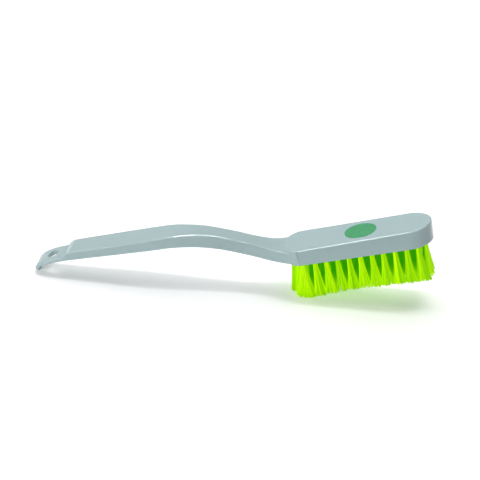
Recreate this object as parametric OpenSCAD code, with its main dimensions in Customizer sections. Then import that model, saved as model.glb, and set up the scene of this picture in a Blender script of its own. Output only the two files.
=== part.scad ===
// Long-handled grout brush: a one-piece moulded body with an offset grip, a plain oval label
// and rows of blind holes, each holding a tuft of filaments folded over a flat metal anchor.
//
// The brush is drawn on a bench plane: the underside of the block is z = 0, the block's heel
// end is x = 0, the toe points along +X and the grip along -X. place() then tips it into the
// pose in which it lies on a floor: the curled tip of the handle and the tufts at the heel
// touch z = 0, the toe is in the air, and the origin is below the middle of its length.

/* [Block] */
// Width of the bristle block at its heel end
block_w = 40.4; // [38:0.2:46]
// Width of the bristle block where its round toe starts
block_toe_w = 37.6; // [36:0.2:44]
// Length of the bristle block, from the round heel to the round toe
block_l = 146.6; // [146:0.2:165]
// Thickness of the block at its heel end
block_h = 16.3; // [15.6:0.1:20]
// Angle at which the block thickens towards the toe
block_pitch = 1.6; // [0:0.1:2.5]
// Radius of the block's corners at its heel end, in plan
block_corner_r = 17; // [13:0.5:18.5]
// Length of the block's rounded toe
block_toe_l = 21.5; // [18:0.5:27]
// Distance by which the top of the toe stands out past its bottom
toe_lean = 1.6; // [0:0.1:3]
// Rounding of the block's upper edge
block_edge_r = 1.3; // [0.6:0.1:2]
// Rounding of the block's lower edge
block_lower_r = 0.8; // [0.4:0.1:1]

/* [Grip] */
// Height of the grip's top above the block's underside
grip_rise = 49.8; // [46:0.2:56]
// Widest width of the grip
grip_w = 28; // [25:0.5:32]
// Distance of the widest place behind the block's heel
grip_w_back = 134; // [128:1:142]
// Distance of the grip's thin end behind the block's heel
grip_back = 225; // [218:1:240]
// Thickness of the grip at its thin end
grip_end_t = 9.4; // [8.5:0.1:11]
// Slope of the grip's underside, in degrees
belly_slope = 1.5; // [0.8:0.1:2]
// Rounding of the handle's edges
edge_r = 1.2; // [0.6:0.1:1.6]
// Rounding of the upper edges over the crest, where the thumb lies
crest_edge_r = 3.6; // [2:0.1:4.5]

/* [Neck] */
// Narrowest width of the neck
waist_w = 18.2; // [16:0.2:22]
// Distance of the narrowest place behind the block's heel
waist_back = 33; // [28:1:38]
// Distance from the block's heel end to the end of the neck's flare
flare_l = 12.5; // [11:0.5:18]
// Thickness of the neck where it joins the block
neck_t = 14; // [12:0.1:15]
// Distance behind the block's heel at which the neck's slope would meet its foot
neck_foot_back = 2.6; // [1:0.2:5]
// Angle of the drop from the grip to the neck
neck_angle = 24.6; // [21:0.2:28]
// Radius over the crest
crest_r = 128; // [90:1:140]
// Radius under the crest
belly_r = 171; // [120:1:180]
// Radius on top of the neck
neck_r = 70; // [40:1:80]
// Radius under the neck
throat_r = 80; // [50:1:90]

/* [Hanging tab] */
// Width of the tab
tab_w = 26; // [22:0.5:28]
// Thickness of the tab
tab_t = 4.2; // [3.4:0.1:5]
// Radius of the grip's round nose above the tab
nose_r = 14; // [8:0.5:24]
// Radius of the tab's gentle bend
bend_r = 120; // [100:1:160]
// Length of the gentle bend, along the tab's underside
bend_l = 25.5; // [22:0.5:28]
// Inside radius of the curled tip
curl_r = 10.5; // [8.5:0.1:12]
// Angle to the grip at which the curled tip ends
curl_end = 80; // [72:1:84]
// Length of the tab's half-oval end, along its underside
oval_l = 24.5; // [20:0.5:26]
// Width of the curled tip's straight end
tip_w = 8; // [5:0.5:10]
// Diameter of the hanging hole
hang_d = 11.5; // [8:0.5:12]
// Distance of the hanging hole from the start of the gentle bend
hang_from_bend = 14.5; // [13:0.5:16]

/* [Tufts] */
// Distance between tufts along a row
tuft_pitch = 11.4; // [11:0.1:11.6]
// Distance between rows
row_pitch = 9.1; // [8.9:0.1:9.4]
// Number of tufts in each outer row
outer_count = 11; // [6:1:11]
// Distance of the first outer tufts from the block's heel end
first_tuft = 17.5; // [16.5:0.5:18.5]
// Angle at which the tufts lean back towards the heel
tuft_rake = 2.5; // [0:0.5:4]
// Diameter of a tuft hole
hole_d = 5.5; // [4.6:0.1:5.8]
// Depth of a tuft hole
hole_depth = 11.5; // [9:0.5:12.5]
// Length of the tufts below the block
trim = 40.8; // [32:0.2:46]
// Diameter of a tuft at its tips
tip_d = 10.2; // [8:0.1:10.3]
// Angle at which the single heel tuft leans towards the heel
heel_rake = 10; // [9:0.5:11]
// Diameter of the heel tuft at its tips
heel_tip_d = 7.4; // [6:0.1:7.6]
// Gap between a tuft and the wall of its hole
tuft_gap = 0.05; // [0.02:0.01:0.15]
// Width of the flat that the floor presses on the tips of the first outer tufts
pressed_w = 1.5; // [0.5:0.1:3]

/* [Anchors] */
// Thickness of an anchor's strip
anchor_t = 0.5; // [0.3:0.1:0.8]
// Height of an anchor
anchor_h = 2.2; // [1.5:0.1:3]
// Depth to which an anchor bites into the wall on each side of the hole
anchor_bite = 0.4; // [0.2:0.1:0.8]
// Thickness of the folded filaments between an anchor and the end of its hole
fold_t = 1.4; // [1:0.1:2]

/* [Label] */
// Length of the oval label
label_l = 32; // [26:0.5:38]
// Width of the oval label
label_w = 26; // [16:0.5:29]
// Thickness of the oval label
label_t = 0.3; // [0.2:0.05:0.5]
// Distance of the label's centre from the block's heel end
label_from_heel = 78; // [60:0.5:90]

/* [Hidden] */
$fn = 64;
BODY_COLOUR = [0.70, 0.77, 0.78];
TUFT_COLOUR = [0.65, 0.95, 0.10];
LABEL_COLOUR = [0.25, 0.62, 0.42];
ANCHOR_COLOUR = [0.75, 0.75, 0.74];

// Steps round a quarter of an edge, round a corner of the block and round the oval label
EDGE_STEPS = 4;
CORNER_STEPS = 14;
LABEL_STEPS = 72;
// Stations over the tab's half-oval end, its straight part, the nose, the grip and the neck
OVAL_STATIONS = 14;
TAB_STATIONS = 5;
NOSE_STATIONS = 7;
GRIP_STATIONS = 9;
NECK_STATIONS = 40;
// How far the handle runs on inside the block
JOIN_L = 24;
// How far inside the block's underside and sides the joined handle stays
JOIN_INSET = 0.8;
ROWS = 4;

// Lines and arcs of the side view. A chain is a list of points joined by straight lines, with
// an arc at each inner corner.

// Direction of the line from a to b
function heading(a, b) = atan2(b[1] - a[1], b[0] - a[0]);

// Turn of a chain at its inner corner i
function turn(chain, i) = heading(chain[i], chain[i + 1]) - heading(chain[i - 1], chain[i]);

// Distance from corner i to either end of its arc of radius r
function arc_reach(chain, i, r) = r * tan(abs(turn(chain, i)) / 2);

// Where the arc at corner i starts and ends along X
function arc_from(chain, i, r) =
    chain[i][0] - arc_reach(chain, i, r) * cos(heading(chain[i - 1], chain[i]));
function arc_to(chain, i, r) =
    chain[i][0] + arc_reach(chain, i, r) * cos(heading(chain[i], chain[i + 1]));

// Height at x of the straight line after point i
function line_height(chain, i, x) =
    chain[i][1] + (x - chain[i][0]) * tan(heading(chain[i], chain[i + 1]));

// Height at x of the arc at corner i
function arc_height(chain, i, r, x) =
    let (
        a = heading(chain[i - 1], chain[i]),
        side = sign(turn(chain, i)),
        start_x = arc_from(chain, i, r),
        centre_x = start_x - side * r * sin(a),
        centre_z = line_height(chain, i - 1, start_x) + side * r * cos(a)
    )
    centre_z - side * sqrt(r * r - (x - centre_x) * (x - centre_x));

// Height at x of a chain of four points with arcs of radius r1 and r2
function chain_height(chain, r1, r2, x) =
    x < arc_from(chain, 1, r1) ? line_height(chain, 0, x) :
    x < arc_to(chain, 1, r1) ? arc_height(chain, 1, r1, x) :
    x < arc_from(chain, 2, r2) ? line_height(chain, 1, x) :
    x < arc_to(chain, 2, r2) ? arc_height(chain, 2, r2, x) :
    line_height(chain, 2, x);

// Value that eases from a at u = 0 to b at u = 1, with no slope at either end
function ease(a, b, u) = let (v = max(0, min(1, u))) a + (b - a) * v * v * (3 - 2 * v);

// The handle's two long lines, seen from the side
tab_x = -grip_back;
belly_z = grip_rise - grip_end_t;
neck_corner_x = -neck_foot_back;
fall = tan(neck_angle);
crest_x = neck_corner_x - (grip_rise - neck_t) / fall;
UPPER = [
    [tab_x, grip_rise],
    [crest_x, grip_rise],
    [neck_corner_x, neck_t],
    [JOIN_L, neck_t]
];

// The line under the neck is parallel to the line above it, neck_t away from it, and the
// belly's line runs back from it to the tab
throat_x = neck_corner_x - (neck_t / cos(neck_angle) - neck_t + JOIN_INSET) / fall;
belly_fall = tan(belly_slope);
belly_x = (JOIN_INSET + fall * throat_x - belly_z - belly_fall * tab_x) / (fall - belly_fall);
LOWER = [
    [tab_x, belly_z],
    [belly_x, belly_z - belly_fall * (belly_x - tab_x)],
    [throat_x, JOIN_INSET],
    [JOIN_L, JOIN_INSET]
];

// The nose: the grip's top rounds down to the tab along an arc of nose_r
nose_drop = grip_end_t - tab_t;
nose_l = sqrt(nose_r * nose_r - pow(nose_r - nose_drop, 2));
function nose_z(x) =
    let (u = max(0, tab_x + nose_l - x)) nose_r - sqrt(max(0, nose_r * nose_r - u * u));

function upper_z(x) = chain_height(UPPER, crest_r, neck_r, x) - nose_z(x);
function lower_z(x) = chain_height(LOWER, belly_r, throat_r, x);

// Half of the handle's width at x: a swelling grip, a narrow waist and a round flare
widest_x = -grip_w_back;
waist_x = -waist_back;
flare_rise = block_w / 2 - JOIN_INSET / 2 - waist_w / 2;
flare_r = (pow(flare_l - waist_x, 2) + flare_rise * flare_rise) / (2 * flare_rise);
function half_width(x) =
    x < widest_x ? ease(tab_w, grip_w, (x - tab_x) / (widest_x - tab_x)) / 2 :
    x < waist_x ? ease(grip_w, waist_w, (x - widest_x) / (waist_x - widest_x)) / 2 :
    waist_w / 2 + flare_r - sqrt(flare_r * flare_r - pow(min(x, flare_l) - waist_x, 2));

// Rounding of the upper edges at x: small on the grip and the neck, large over the crest
function upper_edge(x) =
    x < crest_x ? ease(edge_r, crest_edge_r, 1 - (crest_x - 10 - x) / 22)
    : ease(crest_edge_r, edge_r, (x - crest_x - 14) / 24);

// Outline of a section w wide and t high, standing on 0, with rounded corners
function section(w, t, r_up, r_low) =
    let (
        ru = min(r_up, t * 0.45, w * 0.45),
        rl = min(r_low, t * 0.45, w * 0.45),
        corners = [
            [w / 2 - ru, t - ru, ru, 0],
            [ru - w / 2, t - ru, ru, 90],
            [rl - w / 2, rl, rl, 180],
            [w / 2 - rl, rl, rl, 270]
        ]
    )
    [for (c = corners) for (k = [0 : EDGE_STEPS])
        let (a = c[3] + 90 * k / EDGE_STEPS) [c[0] + c[2] * cos(a), c[1] + c[2] * sin(a)]];

// A section set at the point p of the underside and tipped back by a degrees
function set_section(p, a, outline) =
    [for (q = outline) [p[0] - q[1] * sin(a), q[0], p[1] + q[1] * cos(a)]];

// The tab's underside. s runs along it from the start of the gentle bend to the curled tip.
bend_angle = bend_l / bend_r * 180 / PI;
tab_l = bend_l + curl_r * (curl_end - bend_angle) * PI / 180;
oval_end = acos(tip_w / tab_w);
oval_from = tab_l - oval_l * sin(oval_end);
curl_centre = [
    tab_x - bend_r * sin(bend_angle) + curl_r * sin(bend_angle),
    belly_z - bend_r * (1 - cos(bend_angle)) - curl_r * cos(bend_angle)
];
function tab_angle(s) =
    s < bend_l ? s / bend_r * 180 / PI : bend_angle + (s - bend_l) / curl_r * 180 / PI;
function tab_point(s) =
    let (a = tab_angle(s))
    s < bend_l ? [tab_x - bend_r * sin(a), belly_z - bend_r * (1 - cos(a))]
    : [curl_centre[0] - curl_r * sin(a), curl_centre[1] + curl_r * cos(a)];
function tab_half_width(s) =
    s < oval_from ? tab_w / 2 : tab_w / 2 * sqrt(1 - pow((s - oval_from) / oval_l, 2));

tab_sections = [
    for (s = concat(
        [for (k = [OVAL_STATIONS : -1 : 1]) oval_from + oval_l * sin(k * oval_end / OVAL_STATIONS)],
        [for (k = [TAB_STATIONS : -1 : 0]) oval_from * k / TAB_STATIONS]
    ))
    set_section(tab_point(s), tab_angle(s), section(2 * tab_half_width(s), tab_t, edge_r, edge_r))
];
soft_x = crest_x - 34;
handle_stops = concat(
    [for (k = [1 : NOSE_STATIONS]) tab_x + nose_l * k / NOSE_STATIONS],
    [for (k = [1 : GRIP_STATIONS]) tab_x + nose_l + (soft_x - tab_x - nose_l) * k / GRIP_STATIONS],
    [for (k = [1 : NECK_STATIONS]) soft_x + (JOIN_L - soft_x) * k / NECK_STATIONS]
);
handle_sections = [
    for (x = handle_stops)
    set_section([x, lower_z(x)], 0,
        section(2 * half_width(x), upper_z(x) - lower_z(x), upper_edge(x), edge_r))
];

// The block: outlines one above the other, drawn in towards its two rounded edges
function block_top(x) = block_h + x * tan(block_pitch);
function block_outline(inset, lean) =
    let (
        r = block_corner_r - inset,
        w = block_w / 2 - block_corner_r,
        toe_x = block_l - block_toe_l,
        toe_r = block_toe_l + lean - inset,
        toe_w = block_toe_w / 2 - inset,
        corners = [
            [toe_x, 0, toe_r, toe_w, 0],
            [block_corner_r, w, r, r, 90],
            [block_corner_r, -w, r, r, 180],
            [toe_x, 0, toe_r, toe_w, 270]
        ]
    )
    [for (c = corners) for (k = [0 : CORNER_STEPS])
        if (c[4] != 270 || k < CORNER_STEPS)
        let (a = c[4] + 90 * k / CORNER_STEPS) [c[0] + c[2] * cos(a), c[1] + c[3] * sin(a)]];
block_layers = concat(
    [for (k = [0 : EDGE_STEPS])
        let (a = 90 * k / EDGE_STEPS)
        [for (p = block_outline(block_lower_r * (1 - sin(a)), 0))
            [p[0], p[1], block_lower_r * (1 - cos(a))]]],
    [for (k = [0 : EDGE_STEPS])
        let (a = 90 * k / EDGE_STEPS)
        [for (p = block_outline(block_edge_r * (1 - cos(a)), toe_lean))
            [p[0], p[1], block_top(p[0]) - block_edge_r * (1 - sin(a))]]]
);

// A closed skin over a list of outlines, each with the same number of points
module skin(outlines) {
    n = len(outlines[0]);
    m = len(outlines);
    points = [for (outline = outlines) for (p = outline) p];
    sides = [for (i = [0 : m - 2]) for (j = [0 : n - 1])
        let (a = i * n + j, b = i * n + (j + 1) % n)
        for (f = [[a, a + n, b + n], [a, b + n, b]]) f];
    first = [[for (j = [0 : n - 1]) j]];
    last = [[for (j = [n - 1 : -1 : 0]) (m - 1) * n + j]];
    polyhedron(points, concat(first, sides, last));
}

// Where the tufts stand: [name, x, y, rake, tip diameter]. The inner rows hold one tuft more
// and stand half a pitch nearer the heel, and one tuft stands alone at the heel.
function row_y(row) = (row - (ROWS - 1) / 2) * row_pitch;
function is_outer(row) = row == 0 || row == ROWS - 1;
function row_count(row) = outer_count + (is_outer(row) ? 0 : 1);
function row_x(row) = first_tuft - (is_outer(row) ? 0 : tuft_pitch / 2);
function row_letter(row) = chr(97 + row);
function row_tufts(row) = [
    for (i = [0 : row_count(row) - 1])
    [str("tuft_", row_letter(row), i < 9 ? "0" : "", i + 1),
        row_x(row) + i * tuft_pitch, row_y(row), tuft_rake, tip_d]
];
heel_tuft = ["tuft_heel", first_tuft - tuft_pitch, 0, heel_rake, heel_tip_d];
TUFTS = concat([for (row = [0 : ROWS - 1]) for (t = row_tufts(row)) t], [heel_tuft]);

// The pose on the floor. The floor line runs from the lower corner of the curled tip to the
// flat that it presses on the tips of the first outer tufts.
function on_end(r) = [curl_centre[0] - r * sin(curl_end), curl_centre[1] + r * cos(curl_end)];
pressed = [first_tuft - trim * tan(tuft_rake) - tip_d / 2 + pressed_w, -trim];
function rise_to(p) = atan2(p[1] - pressed[1], pressed[0] - p[0]);
rest_angle = min(rise_to(on_end(curl_r)), rise_to(on_end(curl_r + tab_t)));
function tipped(p) = [
    p[0] * cos(rest_angle) - p[1] * sin(rest_angle),
    p[0] * sin(rest_angle) + p[1] * cos(rest_angle)
];
front_angle = min(curl_end, 90 - rest_angle);
front = tipped(curl_centre + (curl_r + tab_t) * [-sin(front_angle), cos(front_angle)]);
toe_x = block_l + toe_lean;
toe_edge = tipped([toe_x - block_edge_r, block_top(toe_x) - block_edge_r]) + [block_edge_r, 0];
last_x = row_x(1) + (row_count(1) - 1) * tuft_pitch;
toe_tips = tipped([last_x - trim * tan(tuft_rake) + tip_d / 2, -trim]);
middle_x = (front[0] + max(toe_edge[0], toe_tips[0])) / 2;
floor_z = tipped(pressed)[1];

module place() {
    translate([-middle_x, 0, -floor_z]) rotate([0, -rest_angle, 0]) children();
}

// Stands its children at a tuft's place, with +Z along the tuft's hole
module at_tuft(tuft) {
    translate([tuft[1], tuft[2], 0]) rotate([0, tuft[3], 0]) children();
}

// The strip of an anchor, as deep in the hole as the folded filaments let it go
module anchor_strip() {
    translate([-hole_d / 2 - anchor_bite, -anchor_t / 2, hole_depth - fold_t - anchor_h])
        cube([hole_d + 2 * anchor_bite, anchor_t, anchor_h]);
}

module brush_body() {
    color(BODY_COLOUR) place() difference() {
        union() {
            skin(concat(tab_sections, handle_sections));
            skin(block_layers);
        }
        hanging_hole();
        for (tuft = TUFTS) at_tuft(tuft) {
            translate([0, 0, -hole_d]) cylinder(h = hole_depth + hole_d, d = hole_d);
            anchor_strip();
        }
    }
}

// The hanging hole goes square through the tab
module hanging_hole() {
    p = tab_point(hang_from_bend);
    translate([p[0], 0, p[1]]) rotate([0, -tab_angle(hang_from_bend), 0])
        translate([0, 0, -tab_t]) cylinder(h = 3 * tab_t, d = hang_d);
}

module label_oval() {
    outline = [for (k = [0 : LABEL_STEPS - 1])
        let (a = 360 * k / LABEL_STEPS) [label_l / 2 * cos(a), label_w / 2 * sin(a)]];
    color(LABEL_COLOUR) place()
        translate([label_from_heel, 0, block_top(label_from_heel)]) rotate([0, -block_pitch, 0])
        linear_extrude(label_t) polygon(outline);
}

// A tuft: a plug in its hole, split round its anchor, and a flared end below the block,
// trimmed level and flattened where the floor presses it
module tuft(t) {
    plug_d = hole_d - 2 * tuft_gap;
    color(TUFT_COLOUR) difference() {
        place() difference() {
            at_tuft(t) {
                cylinder(h = hole_depth - tuft_gap, d = plug_d);
                mirror([0, 0, 1]) cylinder(h = trim / cos(t[3]) + t[4] / 2, d1 = plug_d,
                    d2 = t[4] + (t[4] - plug_d) * t[4] / 2 / trim);
            }
            at_tuft(t) anchor_strip();
            translate([t[1], t[2], -trim - block_w / 2]) cube(block_w, center = true);
        }
        translate([0, t[2] - block_w / 2, -block_w]) cube([2 * block_l, block_w, block_w]);
    }
}

// The anchors of one row
module anchors(tufts) {
    color(ANCHOR_COLOUR) place() for (t = tufts) at_tuft(t) anchor_strip();
}

brush_body();
label_oval();
for (t = TUFTS) tuft(t);
for (row = [0 : ROWS - 1])
    anchors(row_tufts(row));
anchors([heel_tuft]);  // anchor_heel
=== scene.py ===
"""Looks of the grout brush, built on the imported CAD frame.

Shapes are drawn in millimetres on the same bench plane as the part: the block's underside is
z = 0, its heel end is x = 0, the toe points along +X and the grip along -X. BrushPose then tips
them into the pose in which the brush lies on the floor, in metres.
"""

import logging
import math
import random
from dataclasses import dataclass, field
from enum import Enum

import bmesh
import bpy
from mathutils import Matrix, Vector

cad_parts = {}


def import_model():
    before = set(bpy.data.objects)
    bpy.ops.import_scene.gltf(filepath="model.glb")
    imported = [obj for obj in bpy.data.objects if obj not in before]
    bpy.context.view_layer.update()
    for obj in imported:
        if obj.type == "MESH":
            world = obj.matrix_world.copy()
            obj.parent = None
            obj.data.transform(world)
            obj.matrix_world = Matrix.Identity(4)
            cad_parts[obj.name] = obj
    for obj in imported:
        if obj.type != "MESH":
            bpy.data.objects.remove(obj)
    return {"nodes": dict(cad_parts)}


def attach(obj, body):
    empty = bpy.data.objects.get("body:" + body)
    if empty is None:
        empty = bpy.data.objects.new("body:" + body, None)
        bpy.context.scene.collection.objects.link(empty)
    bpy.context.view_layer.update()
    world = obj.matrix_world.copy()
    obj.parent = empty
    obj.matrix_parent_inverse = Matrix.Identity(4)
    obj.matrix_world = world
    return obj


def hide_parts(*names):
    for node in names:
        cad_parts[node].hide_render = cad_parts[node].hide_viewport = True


LOG = logging.getLogger("grout_brush")

MM = 0.001
ROOT = "root"
SHARP_ANGLE = math.radians(32.0)
GOLDEN_ANGLE = math.pi * (3.0 - math.sqrt(5.0))
NEARLY_ZERO = 1e-6

Colour = tuple[float, float, float]
Paint = Colour | bpy.types.NodeSocket


def ease(start: float, end: float, share: float) -> float:
    """Returns the value that eases from start to end as share goes from 0 to 1."""
    share = max(0.0, min(1.0, share))
    return start + (end - start) * share * share * (3.0 - 2.0 * share)


# Finishes


class NodeTree:
    """A small helper that adds and links the nodes of one material or world."""

    NOISE_ROUGHNESS = 0.55
    GRAIN_DETAIL = 2.0
    GRAIN_STRENGTH = 0.3

    def __init__(self, owner: bpy.types.ID) -> None:
        """Empties the owner's node tree.

        Args:
            owner: The material or world whose nodes are written.
        """
        owner.use_nodes = True
        self.tree = owner.node_tree
        self.tree.nodes.clear()

    def add(self, kind: str, **values: object) -> bpy.types.Node:
        """Adds a node.

        Args:
            kind: The node's type name.
            **values: Attributes of the node, or default values of its inputs by name, with
                underscores for spaces.

        Returns:
            The new node.
        """
        node = self.tree.nodes.new(kind)
        for key, value in values.items():
            name = key.replace("_", " ")
            if name in node.inputs:
                node.inputs[name].default_value = value
            else:
                setattr(node, key, value)
        return node

    def link(self, source: bpy.types.NodeSocket, target: bpy.types.NodeSocket) -> None:
        """Links one output to one input."""
        self.tree.links.new(source, target)

    def coordinates(self) -> bpy.types.NodeSocket:
        """Returns the Object coordinates of a piece."""
        return self.add("ShaderNodeTexCoord").outputs["Object"]

    def noise(
        self, scale: float, detail: float, coords: bpy.types.NodeSocket,
    ) -> bpy.types.NodeSocket:
        """Adds a noise texture on the given coordinates.

        Args:
            scale: Features per metre.
            detail: Octaves of finer noise.
            coords: The coordinates that it reads.

        Returns:
            The noise's value socket.
        """
        node = self.add("ShaderNodeTexNoise", Scale=scale, Detail=detail,
                        Roughness=self.NOISE_ROUGHNESS)
        self.link(coords, node.inputs["Vector"])
        return node.outputs["Fac"]

    def remap(
        self, value: bpy.types.NodeSocket, low: float, high: float,
        out_low: float = 0.0, out_high: float = 1.0,
    ) -> bpy.types.NodeSocket:
        """Maps a value from one range to another, held at its ends.

        Args:
            value: The socket to map.
            low: Start of the range that is read.
            high: End of the range that is read.
            out_low: Start of the range that is given.
            out_high: End of the range that is given.

        Returns:
            The mapped value's socket.
        """
        node = self.add("ShaderNodeMapRange")
        node.inputs["From Min"].default_value = low
        node.inputs["From Max"].default_value = high
        node.inputs["To Min"].default_value = out_low
        node.inputs["To Max"].default_value = out_high
        self.link(value, node.inputs["Value"])
        return node.outputs["Result"]

    def _feed(self, colour: Paint, socket: bpy.types.NodeSocket) -> None:
        """Sets a colour input, or links it to the output that gives the colour.

        Args:
            colour: The plain colour, or the output that gives it.
            socket: The input.
        """
        if isinstance(colour, tuple):
            socket.default_value = (*colour, 1.0)
        else:
            self.link(colour, socket)

    def blend_colours(
        self, share: bpy.types.NodeSocket, first: Paint, second: Paint,
    ) -> bpy.types.NodeSocket:
        """Blends two colours, each a plain one or another node's output, by a share.

        Args:
            share: The socket that holds the second colour's share.
            first: The colour at a share of 0.
            second: The colour at a share of 1.

        Returns:
            The blended colour's socket.
        """
        node = self.add("ShaderNodeMix", data_type="RGBA")
        for socket in node.inputs:
            if socket.identifier == "A_Color":
                self._feed(first, socket)
            elif socket.identifier == "B_Color":
                self._feed(second, socket)
        self.link(share, node.inputs["Factor"])
        return next(s for s in node.outputs if s.identifier == "Result_Color")

    def add_grain(
        self, shader: bpy.types.Node, coords: bpy.types.NodeSocket, scale: float, depth: float,
    ) -> None:
        """Gives a shader the fine grain of a moulded surface.

        Args:
            shader: The shader whose normals it turns.
            coords: The coordinates that it reads.
            scale: Features per metre.
            depth: The grain's depth, in metres.
        """
        bump = self.add("ShaderNodeBump", Strength=self.GRAIN_STRENGTH, Distance=depth)
        self.link(self.noise(scale, self.GRAIN_DETAIL, coords), bump.inputs["Height"])
        self.link(bump.outputs["Normal"], shader.inputs["Normal"])

    def seen_directly(self) -> bpy.types.NodeSocket:
        """Tells the rays that show a thing from those that it lights.

        Returns:
            A socket that is 1 for camera, glossy and transmission rays, and 0 for others.
        """
        path = self.add("ShaderNodeLightPath")
        seen = path.outputs["Is Camera Ray"]
        for kind in ("Is Glossy Ray", "Is Transmission Ray"):
            either = self.add("ShaderNodeMath", operation="MAXIMUM")
            self.link(seen, either.inputs[0])
            self.link(path.outputs[kind], either.inputs[1])
            seen = either.outputs[0]
        return seen

    def end_with(
        self, surface: bpy.types.NodeSocket, output: str = "ShaderNodeOutputMaterial",
    ) -> None:
        """Links the surface to a new output node."""
        self.link(surface, self.add(output).inputs["Surface"])


@dataclass(frozen=True)
class MouldedPlastic:
    """The satin blue-grey plastic of the moulded body."""

    name: str = "moulded_plastic"
    colour: Colour = (0.376, 0.506, 0.521)
    pale_colour: Colour = (0.390, 0.522, 0.536)
    roughness: float = 0.23
    gloss_spread: float = 0.02
    cloud_scale: float = 60.0
    cloud_detail: float = 3.0
    cloud_range: tuple[float, float] = (0.1, 0.9)
    grain_scale: float = 450.0
    grain_depth: float = 0.00001

    def build(self) -> bpy.types.Material:
        """Builds the material.

        Returns:
            The material, with faint clouds in its colour and gloss and a fine grain.
        """
        material = bpy.data.materials.new(self.name)
        nodes = NodeTree(material)
        coords = nodes.coordinates()
        cloud = nodes.noise(self.cloud_scale, self.cloud_detail, coords)
        shader = nodes.add("ShaderNodeBsdfPrincipled")
        colour = nodes.blend_colours(
            nodes.remap(cloud, *self.cloud_range), self.colour, self.pale_colour)
        nodes.link(colour, shader.inputs["Base Color"])
        gloss = nodes.remap(cloud, *self.cloud_range, self.roughness - self.gloss_spread,
                            self.roughness + self.gloss_spread)
        nodes.link(gloss, shader.inputs["Roughness"])
        nodes.add_grain(shader, coords, self.grain_scale, self.grain_depth)
        nodes.end_with(shader.outputs["BSDF"])
        return material


@dataclass(frozen=True)
class PrintedLabel:
    """The green oval, printed thinly enough for the moulding's grain to show."""

    name: str = "label_print"
    colour: Colour = (0.016, 0.300, 0.098)
    pale_colour: Colour = (0.026, 0.345, 0.125)
    roughness: float = 0.42
    ink_scale: float = 260.0
    ink_detail: float = 4.0
    ink_range: tuple[float, float] = (0.35, 0.65)
    grain_scale: float = 450.0
    grain_depth: float = 0.00001

    def build(self) -> bpy.types.Material:
        """Builds the material.

        Returns:
            The material, with a faintly uneven ink.
        """
        material = bpy.data.materials.new(self.name)
        nodes = NodeTree(material)
        coords = nodes.coordinates()
        ink = nodes.noise(self.ink_scale, self.ink_detail, coords)
        shader = nodes.add("ShaderNodeBsdfPrincipled", Roughness=self.roughness)
        colour = nodes.blend_colours(
            nodes.remap(ink, *self.ink_range), self.colour, self.pale_colour)
        nodes.link(colour, shader.inputs["Base Color"])
        nodes.add_grain(shader, coords, self.grain_scale, self.grain_depth)
        nodes.end_with(shader.outputs["BSDF"])
        return material


@dataclass(frozen=True)
class FilamentFinish:
    """The bright green plastic of the filaments, a little different on each strand.

    Painted shade deepens the green near the roots of strands that other tufts hide, and a
    painted glow over every filament stands in for light that passes through the plastic.
    """

    name: str = "filament_plastic"
    colour: Colour = (0.200, 0.560, 0.000)
    bright_colour: Colour = (0.640, 0.980, 0.000)
    # Painted shade: the deep green given to strands that other tufts hide.
    painted_shade_colour: Colour = (0.055, 0.440, 0.000)
    # Strength of the painted glow, which stands in for light passing through the plastic.
    glow: float = 0.37
    roughness: float = 0.5
    specular: float = 0.1
    strand_layer: str = "strand"
    # Attribute that holds each point's share of painted shade.
    painted_shade_layer: str = "depth"

    def build(self) -> bpy.types.Material:
        """Builds the material.

        Returns:
            The material, with each strand's own shade, its painted shade and a painted glow.
        """
        material = bpy.data.materials.new(self.name)
        nodes = NodeTree(material)
        strand = nodes.add("ShaderNodeAttribute", attribute_name=self.strand_layer)
        depth = nodes.add("ShaderNodeAttribute", attribute_name=self.painted_shade_layer)
        shader = nodes.add("ShaderNodeBsdfPrincipled", Roughness=self.roughness)
        shader.inputs["Specular IOR Level"].default_value = self.specular
        open_colour = nodes.blend_colours(
            strand.outputs["Fac"], self.colour, self.bright_colour)
        # Painted shade: the deep green is blended in where other tufts hide the strand.
        colour = nodes.blend_colours(depth.outputs["Fac"], open_colour, self.painted_shade_colour)
        nodes.link(colour, shader.inputs["Base Color"])
        # Painted glow: the filaments emit their own green, though they are no lamp.
        nodes.link(colour, shader.inputs["Emission Color"])
        shader.inputs["Emission Strength"].default_value = self.glow
        nodes.end_with(shader.outputs["BSDF"])
        return material


@dataclass(frozen=True)
class StripSteel:
    """The drawn steel strip that the anchors are cut from."""

    name: str = "anchor_steel"
    colour: Colour = (0.60, 0.60, 0.58)
    roughness: float = 0.33
    gloss_spread: float = 0.08
    streak_scale: float = 2400.0
    streak_detail: float = 1.0
    streak_range: tuple[float, float] = (0.3, 0.7)

    def build(self) -> bpy.types.Material:
        """Builds the material.

        Returns:
            The material, with fine uneven streaks in its gloss.
        """
        material = bpy.data.materials.new(self.name)
        nodes = NodeTree(material)
        streak = nodes.noise(self.streak_scale, self.streak_detail, nodes.coordinates())
        shader = nodes.add("ShaderNodeBsdfPrincipled", Metallic=1.0)
        shader.inputs["Base Color"].default_value = (*self.colour, 1.0)
        gloss = nodes.remap(streak, *self.streak_range, self.roughness - self.gloss_spread,
                            self.roughness + self.gloss_spread)
        nodes.link(gloss, shader.inputs["Roughness"])
        nodes.end_with(shader.outputs["BSDF"])
        return material


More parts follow.
